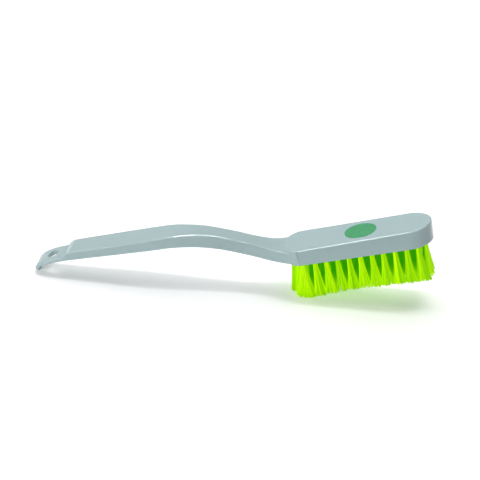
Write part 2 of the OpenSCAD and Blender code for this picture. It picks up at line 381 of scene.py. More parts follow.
@dataclass(frozen=True)
class FloorFinish:
    """The plain pale floor, lifted a little for the camera so that it fades to white.

    The lift is a glow that only camera, glossy and transmission rays see. It grows to 1 between
    two distances from the origin, in metres.
    """

    name: str = "pale_floor"
    colour: Colour = (0.90, 0.90, 0.905)
    lift: float = 0.29
    fade_from: float = 0.24
    fade_to: float = 0.40

    def build(self) -> bpy.types.Material:
        """Builds the material.

        Returns:
            The material, which keeps the object's shadow.
        """
        material = bpy.data.materials.new(self.name)
        nodes = NodeTree(material)
        diffuse = nodes.add("ShaderNodeBsdfDiffuse", Roughness=0.0)
        diffuse.inputs["Color"].default_value = (*self.colour, 1.0)
        reach = nodes.add("ShaderNodeVectorMath", operation="LENGTH")
        nodes.link(nodes.coordinates(), reach.inputs[0])
        glow = nodes.add("ShaderNodeEmission")
        lift = nodes.remap(reach.outputs["Value"], self.fade_from, self.fade_to, self.lift, 1.0)
        nodes.link(lift, glow.inputs["Strength"])
        both = nodes.add("ShaderNodeAddShader")
        nodes.link(diffuse.outputs["BSDF"], both.inputs[0])
        nodes.link(glow.outputs["Emission"], both.inputs[1])
        mix = nodes.add("ShaderNodeMixShader")
        nodes.link(nodes.seen_directly(), mix.inputs[0])
        nodes.link(diffuse.outputs["BSDF"], mix.inputs[1])
        nodes.link(both.outputs[0], mix.inputs[2])
        nodes.end_with(mix.outputs[0])
        return material


# Mesh work


def smooth_by_angle(bm: bmesh.types.BMesh) -> None:
    """Shades the faces smooth and keeps the edges sharp where two faces meet at an angle.

    Args:
        bm: The mesh.
    """
    for face in bm.faces:
        face.smooth = True
    for edge in bm.edges:
        edge.smooth = len(edge.link_faces) == 2 and edge.calc_face_angle(0.0) < SHARP_ANGLE


def to_mesh(bm: bmesh.types.BMesh, name: str) -> bpy.types.Mesh:
    """Writes a bmesh to a new mesh and frees it.

    Args:
        bm: The bmesh.
        name: The new mesh's name.

    Returns:
        The new mesh.
    """
    mesh = bpy.data.meshes.new(name)
    bm.to_mesh(mesh)
    bm.free()
    return mesh


def add_object(name: str, data: bpy.types.ID) -> bpy.types.Object:
    """Adds an object to the scene.

    Args:
        name: The object's name.
        data: Its mesh, light or camera.

    Returns:
        The object.
    """
    obj = bpy.data.objects.new(name, data)
    bpy.context.scene.collection.objects.link(obj)
    return obj


def to_piece(
    mesh: bpy.types.Mesh, name: str, material: bpy.types.Material, slot: str, *nodes: str,
) -> bpy.types.Object:
    """Makes a piece of the brush from a mesh that is already in its place.

    Args:
        mesh: The piece's mesh, in metres in the frame.
        name: The piece's name.
        material: Its material.
        slot: The record's material slot that it belongs to; not used.
        *nodes: The CAD nodes that it stands for.

    Returns:
        The piece.
    """
    piece = add_object(name, mesh)
    mesh.materials.clear()
    mesh.materials.append(material)
    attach(piece, ROOT)
    if nodes:
        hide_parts(*nodes)
    LOG.info("%s: %d faces", name, len(mesh.polygons))
    return piece


class Joining(Enum):
    """The ways in which one mesh is joined with another."""

    UNION = "UNION"
    DIFFERENCE = "DIFFERENCE"


def join_solids(base: bpy.types.Mesh, tool: bpy.types.Mesh, how: Joining) -> bpy.types.Mesh:
    """Joins two closed meshes, or cuts one out of the other.

    Args:
        base: The mesh that is kept.
        tool: The mesh that is added or cut out.
        how: Which of the two.

    Returns:
        The new mesh.
    """
    pair = [add_object("joining", m) for m in (base, tool)]
    modifier = pair[0].modifiers.new("joining", "BOOLEAN")
    modifier.operation = how.value
    modifier.solver = "EXACT"
    modifier.object = pair[1]
    graph = bpy.context.evaluated_depsgraph_get()
    graph.update()
    mesh = bpy.data.meshes.new_from_object(pair[0].evaluated_get(graph), depsgraph=graph)
    for obj in pair:
        bpy.data.objects.remove(obj)
    for old in (base, tool):
        bpy.data.meshes.remove(old)
    return mesh


def even_shading(piece: bpy.types.Object) -> None:
    """Weights the piece's normals by area, so that flat faces stay flat beside round edges."""
    modifier = piece.modifiers.new("even_shading", "WEIGHTED_NORMAL")
    modifier.keep_sharp = True


# Forms of the moulded body


@dataclass(frozen=True)
class SideLine:
    """A line of the side view: straight runs between points, with an arc at the inner ones."""

    points: tuple[tuple[float, float], ...]
    radii: tuple[float, float]

    def _heading(self, i: int) -> float:
        """Returns the direction of the run that starts at point i."""
        (x0, z0), (x1, z1) = self.points[i], self.points[i + 1]
        return math.atan2(z1 - z0, x1 - x0)

    def _straight(self, i: int, x: float) -> float:
        """Returns the height at x of the run that starts at point i."""
        return self.points[i][1] + (x - self.points[i][0]) * math.tan(self._heading(i))

    def height(self, x: float) -> float:
        """Finds the line's height.

        Args:
            x: The place along the brush.

        Returns:
            The height at x.
        """
        for i, radius in ((1, self.radii[0]), (2, self.radii[1])):
            before, after = self._heading(i - 1), self._heading(i)
            side = math.copysign(1.0, after - before)
            reach = radius * math.tan(abs(after - before) / 2.0)
            start = self.points[i][0] - reach * math.cos(before)
            end = self.points[i][0] + reach * math.cos(after)
            if x < start:
                return self._straight(i - 1, x)
            if x < end:
                centre_x = start - side * radius * math.sin(before)
                centre_z = self._straight(i - 1, start) + side * radius * math.cos(before)
                return centre_z - side * math.sqrt(radius**2 - (x - centre_x) ** 2)
        return self._straight(2, x)


@dataclass(frozen=True)
class Section:
    """One cross-section of the handle, standing on its underside."""

    x: float
    z: float
    tilt: float
    width: float
    height: float
    upper_r: float
    lower_r: float


@dataclass
class BlockForm:
    """The bristle block."""

    width: float = 40.4
    toe_w: float = 37.6
    length: float = 146.6
    height: float = 16.3
    pitch: float = math.radians(1.6)
    heel_r: float = 17.0
    toe_l: float = 21.5
    toe_lean: float = 1.6
    upper_r: float = 1.5
    lower_r: float = 0.8
    outline_steps: int = 128
    upper_steps: int = 6
    lower_steps: int = 4
    rim_angle: float = math.radians(60.0)

    def top(self, x: float) -> float:
        """Returns the height of the block's top at x."""
        return self.height + x * math.tan(self.pitch)

    def _on_outline(self, angle: float, lean: float) -> tuple[float, float]:
        """Returns the point of the block's outline at an angle of its plan circle.

        Args:
            angle: The angle round the plan circle.
            lean: How far the toe stands out past its bottom outline.

        Returns:
            The point's place.
        """
        c, s = math.cos(angle), math.sin(angle)
        if c > -NEARLY_ZERO:
            return (self.length - self.toe_l + (self.toe_l + lean) * c,
                    self.toe_w / 2.0 * s)
        offset = 0.0
        if abs(s) > NEARLY_ZERO:
            offset = math.copysign(self.width / 2.0 - self.heel_r, s)
        return self.heel_r + self.heel_r * c, offset + self.heel_r * s

    def mesh(self) -> bpy.types.Mesh:
        """Builds the block as an outline that is lifted, leant out and rounded at its rims.

        Returns:
            The block's mesh, in millimetres on the bench.
        """
        bm = bmesh.new()
        bmesh.ops.create_circle(bm, cap_ends=True, segments=self.outline_steps, radius=1.0)
        lifted = bmesh.ops.extrude_face_region(bm, geom=list(bm.faces))["geom"]
        upper = {item for item in lifted if isinstance(item, bmesh.types.BMVert)}
        for vert in bm.verts:
            angle = math.atan2(vert.co.y, vert.co.x)
            vert.co.x, vert.co.y = self._on_outline(angle, self.toe_lean * (vert in upper))
            vert.co.z = self.top(vert.co.x) * (vert in upper)
        bmesh.ops.recalc_face_normals(bm, faces=bm.faces)
        for at_top, radius, steps in ((True, self.upper_r, self.upper_steps),
                                      (False, self.lower_r, self.lower_steps)):
            rim = [e for e in bm.edges
                   if all((v.co.z > self.height / 2.0) == at_top for v in e.verts)
                   and e.calc_face_angle(0.0) > self.rim_angle]
            bmesh.ops.bevel(
                bm, geom=rim, offset=radius, offset_type="OFFSET", segments=steps,
                profile=0.5, affect="EDGES", clamp_overlap=True, material=-1)
        return to_mesh(bm, "block")


@dataclass
class HandleForm:
    """The handle: hanging tab, grip and neck, in one sweep that ends inside the block."""

    block: BlockForm
    grip_rise: float = 49.8
    grip_w: float = 28.0
    widest_x: float = -134.0
    tab_x: float = -225.0
    grip_end_t: float = 9.4
    belly_fall: float = math.tan(math.radians(1.5))
    edge_r: float = 1.2
    edge_share: float = 0.45
    crest_r: float = 3.6
    crest_lead: float = 10.0
    crest_grow_l: float = 22.0
    crest_lag: float = 14.0
    crest_fade_l: float = 24.0
    waist_w: float = 18.2
    waist_x: float = -33.0
    flare_x: float = 12.5
    neck_t: float = 14.0
    neck_foot_x: float = -2.6
    neck_angle: float = math.radians(24.6)
    upper_arcs: tuple[float, float] = (128.0, 70.0)
    lower_arcs: tuple[float, float] = (171.0, 80.0)
    tab_w: float = 26.0
    tab_t: float = 4.2
    nose_r: float = 14.0
    bend_r: float = 120.0
    bend_l: float = 25.5
    curl_r: float = 10.5
    curl_end: float = math.radians(80.0)
    oval_l: float = 24.5
    tip_w: float = 8.0
    hole_d: float = 11.5
    hole_from_bend: float = 14.5
    hole_steps: int = 72
    join_l: float = 24.0
    join_inset: float = 0.8
    crease_x: float = 15.2
    crease_r: float = 1.4
    crease_foot_r: float = 0.3
    crease_out: float = 0.3
    crease_below: float = 1.0
    crease_share: float = 1.2
    edge_steps: int = 6
    tip_steps: int = 40
    tab_steps: int = 12
    nose_steps: int = 16
    grip_steps: int = 30
    neck_steps: int = 90
    neck_lead: float = 34.0
    upper: SideLine = field(init=False)
    lower: SideLine = field(init=False)
    crest_x: float = field(init=False)
    belly_z: float = field(init=False)
    bend_angle: float = field(init=False)
    tab_l: float = field(init=False)
    curl_x: float = field(init=False)
    curl_z: float = field(init=False)
    nose_l: float = field(init=False)

    def __post_init__(self) -> None:
        """Draws the two long lines of the side view, and works out the tab and the nose."""
        fall = math.tan(self.neck_angle)
        self.crest_x = self.neck_foot_x - (self.grip_rise - self.neck_t) / fall
        self.upper = SideLine(
            ((self.tab_x, self.grip_rise), (self.crest_x, self.grip_rise),
             (self.neck_foot_x, self.neck_t), (self.join_l, self.neck_t)), self.upper_arcs)
        belly_z = self.grip_rise - self.grip_end_t
        throat_x = self.neck_foot_x - (
            self.neck_t / math.cos(self.neck_angle) - self.neck_t + self.join_inset) / fall
        belly_x = (self.join_inset + fall * throat_x - belly_z - self.belly_fall * self.tab_x) / (
            fall - self.belly_fall)
        self.lower = SideLine(
            ((self.tab_x, belly_z), (belly_x, belly_z - self.belly_fall * (belly_x - self.tab_x)),
             (throat_x, self.join_inset), (self.join_l, self.join_inset)), self.lower_arcs)
        self.belly_z = belly_z
        self.bend_angle = self.bend_l / self.bend_r
        self.tab_l = self.bend_l + self.curl_r * (self.curl_end - self.bend_angle)
        self.curl_x = self.tab_x - (self.bend_r - self.curl_r) * math.sin(self.bend_angle)
        self.curl_z = belly_z - self.bend_r * (1.0 - math.cos(self.bend_angle)) \
            - self.curl_r * math.cos(self.bend_angle)
        drop = self.grip_end_t - self.tab_t
        self.nose_l = math.sqrt(self.nose_r**2 - (self.nose_r - drop) ** 2)

    def _nose_drop(self, x: float) -> float:
        """Returns how far the nose's arc lies below the grip's top at x."""
        back = max(0.0, self.tab_x + self.nose_l - x)
        return self.nose_r - math.sqrt(max(0.0, self.nose_r**2 - back**2))

    def _half_width(self, x: float) -> float:
        """Finds half of the handle's width.

        Args:
            x: The place along the brush.

        Returns:
            Half of the width at x.
        """
        if x < self.widest_x:
            share = (x - self.tab_x) / (self.widest_x - self.tab_x)
            return ease(self.tab_w, self.grip_w, share) / 2.0
        if x < self.waist_x:
            share = (x - self.widest_x) / (self.waist_x - self.widest_x)
            return ease(self.grip_w, self.waist_w, share) / 2.0
        rise = self.block.width / 2.0 - self.join_inset / 2.0 - self.waist_w / 2.0
        radius = ((self.flare_x - self.waist_x) ** 2 + rise**2) / (2.0 * rise)
        along = min(x, self.flare_x) - self.waist_x
        return self.waist_w / 2.0 + radius - math.sqrt(radius**2 - along**2)

    def _upper_edge(self, x: float) -> float:
        """Finds the rounding of the upper edges, which grows towards the crest.

        Args:
            x: The place along the brush.

        Returns:
            The radius at x.
        """
        if x < self.crest_x:
            before = (self.crest_x - self.crest_lead - x) / self.crest_grow_l
            return ease(self.edge_r, self.crest_r, 1.0 - before)
        past = (x - self.crest_x - self.crest_lag) / self.crest_fade_l
        return ease(self.crest_r, self.edge_r, past)

    def tab_tilt(self, s: float) -> float:
        """Finds the tab's tilt.

        Args:
            s: The distance along its underside, from the grip's end.

        Returns:
            The tilt, in radians.
        """
        if s < self.bend_l:
            return s / self.bend_r
        return self.bend_angle + (s - self.bend_l) / self.curl_r

    def tab_point(self, s: float) -> tuple[float, float]:
        """Finds a point of the tab's underside.

        Args:
            s: The distance along it, from the grip's end.

        Returns:
            The point's x and z.
        """
        a = self.tab_tilt(s)
        if s < self.bend_l:
            return (self.tab_x - self.bend_r * math.sin(a),
                    self.belly_z - self.bend_r * (1.0 - math.cos(a)))
        return self.curl_x - self.curl_r * math.sin(a), self.curl_z + self.curl_r * math.cos(a)

    def sections(self) -> list[Section]:
        """Lists the handle's sections.

        Returns:
            The sections, from the curled tip to the handle's end inside the block.
        """
        oval_end = math.acos(self.tip_w / self.tab_w)
        oval_from = self.tab_l - self.oval_l * math.sin(oval_end)
        stops = [oval_from + self.oval_l * math.sin(k * oval_end / self.tip_steps)
                 for k in range(self.tip_steps, 0, -1)]
        stops += [oval_from * k / self.tab_steps for k in range(self.tab_steps, -1, -1)]
        found = []
        for s in stops:
            share = max(0.0, (s - oval_from) / self.oval_l)
            x, z = self.tab_point(s)
            found.append(Section(x, z, self.tab_tilt(s), self.tab_w * math.sqrt(1.0 - share**2),
                                 self.tab_t, self.edge_r, self.edge_r))
        nose_end, neck_from = self.tab_x + self.nose_l, self.crest_x - self.neck_lead
        along = []
        for start, run, steps in ((self.tab_x, self.nose_l, self.nose_steps),
                                  (nose_end, neck_from - nose_end, self.grip_steps),
                                  (neck_from, self.join_l - neck_from, self.neck_steps)):
            along += [start + run * k / steps for k in range(1, steps + 1)]
        for x in along:
            top, bottom = self.upper.height(x) - self._nose_drop(x), self.lower.height(x)
            found.append(Section(x, bottom, 0.0, 2.0 * self._half_width(x), top - bottom,
                                 self._upper_edge(x), self.edge_r))
        return found

    def _ring(self, bm: bmesh.types.BMesh, section: Section) -> list[bmesh.types.BMEdge]:
        """Adds the closed loop of one section.

        Args:
            bm: The mesh that it is added to.
            section: The section to draw.

        Returns:
            The loop's edges.
        """
        half, high = section.width / 2.0, section.height
        flat = bmesh.new()
        corners = [flat.verts.new((0.0, y, z)) for y, z in
                   ((-half, 0.0), (half, 0.0), (half, high), (-half, high))]
        flat.faces.new(corners)
        limit = self.edge_share * min(high, section.width)
        for pair, radius in ((corners[2:], section.upper_r), (corners[:2], section.lower_r)):
            bmesh.ops.bevel(
                flat, geom=pair, offset=min(radius, limit), offset_type="OFFSET",
                segments=self.edge_steps, profile=0.5, affect="VERTICES", clamp_overlap=False,
                material=-1)
        turn = Matrix.Translation((section.x, 0.0, section.z)) @ Matrix.Rotation(
            -section.tilt, 4, "Y")
        flat.faces.ensure_lookup_table()
        loop = [bm.verts.new(turn @ v.co) for v in flat.faces[0].verts]
        flat.free()
        return [bm.edges.new((a, b)) for a, b in zip(loop, loop[1:] + loop[:1])]

    def mesh(self) -> bpy.types.Mesh:
        """Builds the handle as one sweep through its sections.

        Returns:
            The handle's mesh, in millimetres on the bench.
        """
        bm = bmesh.new()
        rings = [self._ring(bm, section) for section in self.sections()]
        for before, after in zip(rings, rings[1:]):
            bmesh.ops.bridge_loops(bm, edges=before + after)
        for end in (rings[0], rings[-1]):
            bmesh.ops.edgeloop_fill(bm, edges=end)
        bmesh.ops.recalc_face_normals(bm, faces=bm.faces)
        return to_mesh(bm, "handle")

    def crease_cutters(self) -> bpy.types.Mesh:
        """Builds the cutters of the fine creases where the flare meets the block's sides.

        Returns:
            The cutters' mesh.
        """
        bm = bmesh.new()
        height = self.block.height * self.crease_share
        for side in (-1.0, 1.0):
            place = Matrix.Translation(
                (self.crease_x, side * (self.block.width / 2.0 + self.crease_out),
                 height / 2.0 - self.crease_below))
            bmesh.ops.create_cone(bm, cap_ends=True, segments=4, radius1=self.crease_foot_r,
                                  radius2=self.crease_r, depth=height, matrix=place)
        return to_mesh(bm, "creases")

    def hole_cutter(self) -> bpy.types.Mesh:
        """Builds the cutter of the hanging hole, square to the tab.

        Returns:
            The cutter's mesh.
        """
        bm = bmesh.new()
        x, z = self.tab_point(self.hole_from_bend)
        turn = Matrix.Translation((x, 0.0, z)) @ Matrix.Rotation(
            -self.tab_tilt(self.hole_from_bend), 4, "Y") @ Matrix.Translation(
                (0.0, 0.0, self.tab_t / 2.0))
        bmesh.ops.create_cone(
            bm, cap_ends=True, segments=self.hole_steps, radius1=self.hole_d / 2.0,
            radius2=self.hole_d / 2.0, depth=3.0 * self.tab_t, matrix=turn)
        return to_mesh(bm, "hanging_hole")


@dataclass(frozen=True)
class Tuft:
    """One tuft: its label, its place on the bench and its rake."""

    label: str
    x: float
    y: float
    rake: float

    @property
    def node(self) -> str:
        """Returns the name of the tuft's CAD node."""
        return f"tuft_{self.label}"

    @property
    def stand(self) -> Matrix:
        """Returns the transform from the tuft's own axes to the bench."""
        return Matrix.Translation((self.x, self.y, 0.0)) @ Matrix.Rotation(self.rake, 4, "Y")


@dataclass
class TuftPattern:
    """Where the tufts stand, and their sizes."""

    pitch: float = 11.4
    row_pitch: float = 9.1
    outer_count: int = 11
    first_x: float = 17.5
    rake: float = math.radians(2.5)
    hole_d: float = 4.8
    hole_depth: float = 11.5
    hole_below: float = 2.0
    hole_steps: int = 28
    trim: float = 40.8
    tip_d: float = 10.2
    heel_rake: float = math.radians(10.0)
    pressed_w: float = 1.5
    rows: str = "abcd"

    @property
    def last_x(self) -> float:
        """The place of the last tufts of the outer rows."""
        return self.first_x + (self.outer_count - 1) * self.pitch

    def tufts(self) -> list[Tuft]:
        """Lists the tufts.

        Returns:
            Every tuft, row by row, and the one at the heel.
        """
        found = []
        for row, letter in enumerate(self.rows):
            inner = 0 < row < len(self.rows) - 1
            start = self.first_x - (self.pitch / 2.0 if inner else 0.0)
            y = (row - (len(self.rows) - 1) / 2.0) * self.row_pitch
            for i in range(self.outer_count + inner):
                found.append(Tuft(
                    f"{letter}{i + 1:02d}", start + i * self.pitch, y, self.rake))
        found.append(Tuft("heel", self.first_x - self.pitch, 0.0, self.heel_rake))
        return found

    def hole_cutters(self) -> bpy.types.Mesh:
        """Builds the cutters of all the tuft holes.

        Returns:
            The cutters' mesh.
        """
        bm = bmesh.new()
        for tuft in self.tufts():
            depth = self.hole_depth + self.hole_below
            middle = Matrix.Translation((0.0, 0.0, depth / 2.0 - self.hole_below))
            bmesh.ops.create_cone(
                bm, cap_ends=True, segments=self.hole_steps, radius1=self.hole_d / 2.0,
                radius2=self.hole_d / 2.0, depth=depth, matrix=tuft.stand @ middle)
        return to_mesh(bm, "tuft_holes")


class BrushPose:
    """How the brush lies on the floor, on its curled tip and its bristles."""

    def __init__(self, handle: HandleForm, pattern: TuftPattern, block: BlockForm) -> None:
        """Works out the tilt and the place from the sizes.

        Args:
            handle: The handle's form.
            pattern: The tufts' places and sizes.
            block: The block's form.
        """
        pressed = (pattern.first_x - pattern.trim * math.tan(pattern.rake)
                   - pattern.tip_d / 2.0 + pattern.pressed_w, -pattern.trim)
        ends = [self._on_curl(handle, r, handle.curl_end)
                for r in (handle.curl_r, handle.curl_r + handle.tab_t)]
        self.angle = min(math.atan2(z - pressed[1], pressed[0] - x) for x, z in ends)
        front_angle = min(handle.curl_end, math.pi / 2.0 - self.angle)
        front = self.tipped(*self._on_curl(handle, handle.curl_r + handle.tab_t, front_angle))
        toe_x = block.length + block.toe_lean
        toe = self.tipped(toe_x - block.upper_r, block.top(toe_x) - block.upper_r)
        inner_x = (pattern.first_x - pattern.pitch / 2.0
                   + pattern.outer_count * pattern.pitch)
        tips = self.tipped(inner_x - pattern.trim * math.tan(pattern.rake) + pattern.tip_d / 2.0,
                           -pattern.trim)
        self.middle_x = (front[0] + max(toe[0] + block.upper_r, tips[0])) / 2.0
        self.floor_z = self.tipped(*pressed)[1]
        self.matrix = Matrix.Scale(MM, 4) @ Matrix.Translation(
            (-self.middle_x, 0.0, -self.floor_z)) @ Matrix.Rotation(-self.angle, 4, "Y")

    @staticmethod
    def _on_curl(handle: HandleForm, radius: float, angle: float) -> tuple[float, float]:
        """Returns the point of the curled tip at a radius and an angle."""
        return (handle.curl_x - radius * math.sin(angle),
                handle.curl_z + radius * math.cos(angle))

    def tipped(self, x: float, z: float) -> tuple[float, float]:
        """Returns a bench point turned by the resting tilt."""
        c, s = math.cos(self.angle), math.sin(self.angle)
        return x * c - z * s, x * s + z * c


# Sub-assemblies


@dataclass
class MouldedBody:
    """The one-piece moulded body."""

    block: BlockForm
    handle: HandleForm
    pattern: TuftPattern
    pose: BrushPose
    weld: float = 0.0005
    finish: MouldedPlastic = MouldedPlastic()

    def build(self) -> bpy.types.Object:
        """Builds the body.

        Returns:
            The body, with its hanging hole and tuft holes.
        """
        mesh = join_solids(self.handle.mesh(), self.block.mesh(), Joining.UNION)
        mesh = join_solids(mesh, self.handle.crease_cutters(), Joining.DIFFERENCE)
        mesh = join_solids(mesh, self.handle.hole_cutter(), Joining.DIFFERENCE)
        mesh = join_solids(mesh, self.pattern.hole_cutters(), Joining.DIFFERENCE)
        bm = bmesh.new()
        bm.from_mesh(mesh)
        bmesh.ops.remove_doubles(bm, verts=bm.verts, dist=self.weld)
        bmesh.ops.dissolve_degenerate(bm, edges=bm.edges, dist=self.weld)
        smooth_by_angle(bm)
        bm.to_mesh(mesh)
        bm.free()
        mesh.transform(self.pose.matrix)
        piece = to_piece(mesh, "moulded_body", self.finish.build(), "body", "brush_body")
        even_shading(piece)
        return piece


@dataclass
class OvalLabel:
    """The plain oval on the block's top."""

    block: BlockForm
    pose: BrushPose
    length: float = 32.0
    width: float = 26.0
    thickness: float = 0.3
    centre_x: float = 78.0
    edge_r: float = 0.12
    edge_steps: int = 3
    outline_steps: int = 120
    finish: PrintedLabel = PrintedLabel()

    def build(self) -> bpy.types.Object:
        """Builds the label.

        Returns:
            The label, with a softened rim.
        """
        bm = bmesh.new()
        bmesh.ops.create_circle(bm, cap_ends=True, segments=self.outline_steps, radius=0.5)
        bmesh.ops.scale(bm, vec=(self.length, self.width, 1.0), verts=bm.verts)
        lifted = bmesh.ops.extrude_face_region(bm, geom=list(bm.faces))["geom"]
        bmesh.ops.translate(bm, vec=(0.0, 0.0, self.thickness),
                            verts=[v for v in lifted if isinstance(v, bmesh.types.BMVert)])
        bmesh.ops.recalc_face_normals(bm, faces=bm.faces)
        rim = [e for e in bm.edges if all(v.co.z > self.thickness / 2.0 for v in e.verts)]
        bmesh.ops.bevel(
            bm, geom=rim, offset=self.edge_r, offset_type="OFFSET", segments=self.edge_steps,
            profile=0.5, affect="EDGES", clamp_overlap=True, material=-1)
        smooth_by_angle(bm)
        seat = Matrix.Translation((self.centre_x, 0.0, self.block.top(self.centre_x))) \
            @ Matrix.Rotation(-self.block.pitch, 4, "Y")
        mesh = to_mesh(bm, "oval_label")
        mesh.transform(self.pose.matrix @ seat)
        piece = to_piece(mesh, "oval_label", self.finish.build(), "label", "label_oval")
        even_shading(piece)
        return piece


class Fan(Enum):
    """How far the tips reach by the tuft's place: back, forward and across, in millimetres."""

    OUTER = (6.4, 6.6, 3.4)
    INNER = (6.4, 6.6, 4.6)
    FIRST_OUTER = (13.6, 6.6, 3.6)
    FIRST_INNER = (10.2, 6.6, 6.4)
    LAST_OUTER = (6.4, 8.8, 3.4)
    LAST_INNER = (6.4, 5.6, 6.2)
    HEEL = (3.6, 6.0, 7.0)


@dataclass(frozen=True)
class Lock:
    """A lock of strands: its place across the round bundle, its shade and its cut."""

    x: float
    y: float
    shade: float
    cut: float


@dataclass(frozen=True)
class Strand:
    """One filament, from its root in the hole to its tip, in the tuft's own axes."""

    root: Vector
    tip: Vector
    bow: float
    twist: float
    shade: float
    # Share of painted shade, from how far other tufts hide the strand.
    painted_shade: float

    def place(self, share: float) -> Vector:
        """Finds a place on the strand.

        Args:
            share: The share of its length, 0 at the hole's mouth and 1 at the tip.

        Returns:
            The place.
        """
        place = self.root.lerp(self.tip, share)
        place.x -= self.bow * 4.0 * share * (1.0 - share)
        return place


@dataclass
class FilamentBundle:
    """The filaments of one tuft: locks of strands that fan out from the tuft's hole.

    A resting tuft is one that the floor presses at the heel. It has more strands and a more
    even cut. Lengths are in millimetres but for floor_gap, which is in metres.
    """

    tuft: Tuft
    pattern: TuftPattern
    pose: BrushPose
    finish: FilamentFinish
    strands: int = 150
    resting_strands: float = 1.5
    locks: int = 16
    strand_d: float = 0.55
    strand_sides: int = 4
    root_depth: float = 2.0
    root_inset: float = 0.2
    joints: int = 4
    floor_gap: float = 0.0003
    lock_turn: float = 0.3
    strand_turn: float = 0.2
    lock_pull: float = 0.45
    resting_uneven: float = 0.3
    stray: float = 0.35
    lock_cut_spread: float = 0.5
    lock_cut: float = 0.6
    cut_mean: float = -0.3
    cut_spread: float = 0.35
    bow: tuple[float, float] = (0.5, 1.4)
    lock_shade: float = 0.55
    strand_shade: float = 0.45
    corner_rise: float = 10.0
    corner_reach: float = 12.2
    corner_from: float = 0.5
    # Painted shade: where it starts across the bundle, and where and how fast it fades along the
    # strand.
    painted_shade_from: float = 0.5
    fade_from: float = 0.6
    fade_l: float = 0.4
    wear: float = 2.6
    wear_from: float = 20.0
    wear_l: float = 35.0
    regain: float = 1.2
    regain_from: float = 75.0
    regain_l: float = 50.0

    def _painted_shade_share(self, x: float, y: float) -> float:
        """Gives a strand's painted shade, from how far other tufts hide it from the outside.

        Args:
            x: The strand's place across the round bundle, along the block, from -1 to 1.
            y: Its place across the block, from -1 to 1.

        Returns:
            1 for a strand that faces the middle of the brush, and 0 for one that faces out.
        """
        out = -1.0
        if abs(self.tuft.y) > self.pattern.row_pitch:
            out = math.copysign(y, self.tuft.y * y)
        if self.tuft.x <= self.pattern.first_x:
            out = max(out, -x)
        if self.tuft.x >= self.pattern.last_x:
            out = max(out, x)
        if self.tuft.label == "heel":
            out = max(out, abs(y))
        return ease(1.0, 0.0, (out + self.painted_shade_from) / self.painted_shade_from)

    @property
    def _fan(self) -> Fan:
        """The fan of the tuft's place.

        Returns:
            The fan.
        """
        outer = abs(self.tuft.y) > self.pattern.row_pitch
        if self.tuft.label == "heel":
            return Fan.HEEL
        if self.tuft.x <= self.pattern.first_x:
            return Fan.FIRST_OUTER if outer else Fan.FIRST_INNER
        if self.tuft.x >= self.pattern.last_x:
            return Fan.LAST_OUTER if outer else Fan.LAST_INNER
        return Fan.OUTER if outer else Fan.INNER

    @property
    def _worn(self) -> float:
        """How much shorter the tuft is worn than the trim, which is most near the heel.

        Returns:
            The difference.
        """
        worn = ease(0.0, self.wear, (self.tuft.x - self.wear_from) / self.wear_l)
        regained = ease(0.0, self.regain, (self.tuft.x - self.regain_from) / self.regain_l)
        return worn - regained

    @staticmethod
    def _spread(x: float) -> float:
        """Returns where a place across a round bundle comes out across an evenly filled fan."""
        x = max(-1.0, min(1.0, x))
        return 2.0 * (x * math.sqrt(1.0 - x * x) + math.asin(x)) / math.pi

    def _draw_locks(self, rng: random.Random) -> list[Lock]:
        """Draws the locks of the bundle.

        Args:
            rng: The tuft's random numbers.

        Returns:
            The locks.
        """
        drawn = []
        for k in range(self.locks):
            radius = math.sqrt((k + 0.5) / self.locks)
            angle = k * GOLDEN_ANGLE + rng.uniform(-self.lock_turn, self.lock_turn)
            drawn.append(Lock(radius * math.cos(angle), radius * math.sin(angle), rng.random(),
                              rng.gauss(0.0, self.lock_cut_spread)))
        return drawn

    def _draw(self, rng: random.Random) -> list[Strand]:
        """Draws the strands of the bundle.

        Args:
            rng: The tuft's random numbers.

        Returns:
            The strands.
        """
        reach = self.pattern.hole_d / 2.0 - self.strand_d / 2.0 - self.root_inset
        back, forward, across = self._fan.value
        resting = self.tuft.x <= self.pattern.first_x
        strands = round(self.strands * (self.resting_strands if resting else 1.0))
        uneven = self.resting_uneven if resting else 1.0
        pull = self.lock_pull * uneven
        locks = self._draw_locks(rng)
        drawn = []
        to_part = self.pose.matrix @ self.tuft.stand
        for k in range(strands):
            radius = math.sqrt((k + 0.5) / strands)
            angle = k * GOLDEN_ANGLE + rng.uniform(-self.strand_turn, self.strand_turn)
            x, y = radius * math.cos(angle), radius * math.sin(angle)
            lock = min(locks, key=lambda c: (c.x - x) ** 2 + (c.y - y) ** 2)
            side = self._spread(x * (1.0 - pull) + lock.x * pull)
            tip_x = side * (back if side < 0.0 else forward) + rng.gauss(0.0, self.stray)
            tip_y = (y * (1.0 - pull) + lock.y * pull) * across + rng.gauss(0.0, self.stray)
            length = self.pattern.trim / math.cos(self.tuft.rake) - self._worn
            length += uneven * (lock.cut * self.lock_cut
                                + rng.gauss(self.cut_mean, self.cut_spread))
            corner = max(0.0, -side * back / self.corner_reach - self.corner_from)
            length -= self.corner_rise * corner**2
            root = Vector((x * reach, y * reach, 0.0))
            tip = Vector((tip_x, tip_y, -length))
            low, high = (to_part @ tip).z, (to_part @ root).z
            if low < self.floor_gap:
                tip = root.lerp(tip, (high - self.floor_gap) / (high - low))
            # Each strand carries its painted shade, from how far other tufts hide it.
            drawn.append(Strand(
                root, tip, rng.uniform(*self.bow) * x, rng.uniform(0.0, math.pi),
                min(1.0, lock.shade * self.lock_shade + rng.random() * self.strand_shade),
                self._painted_shade_share(x, y)))
        return drawn

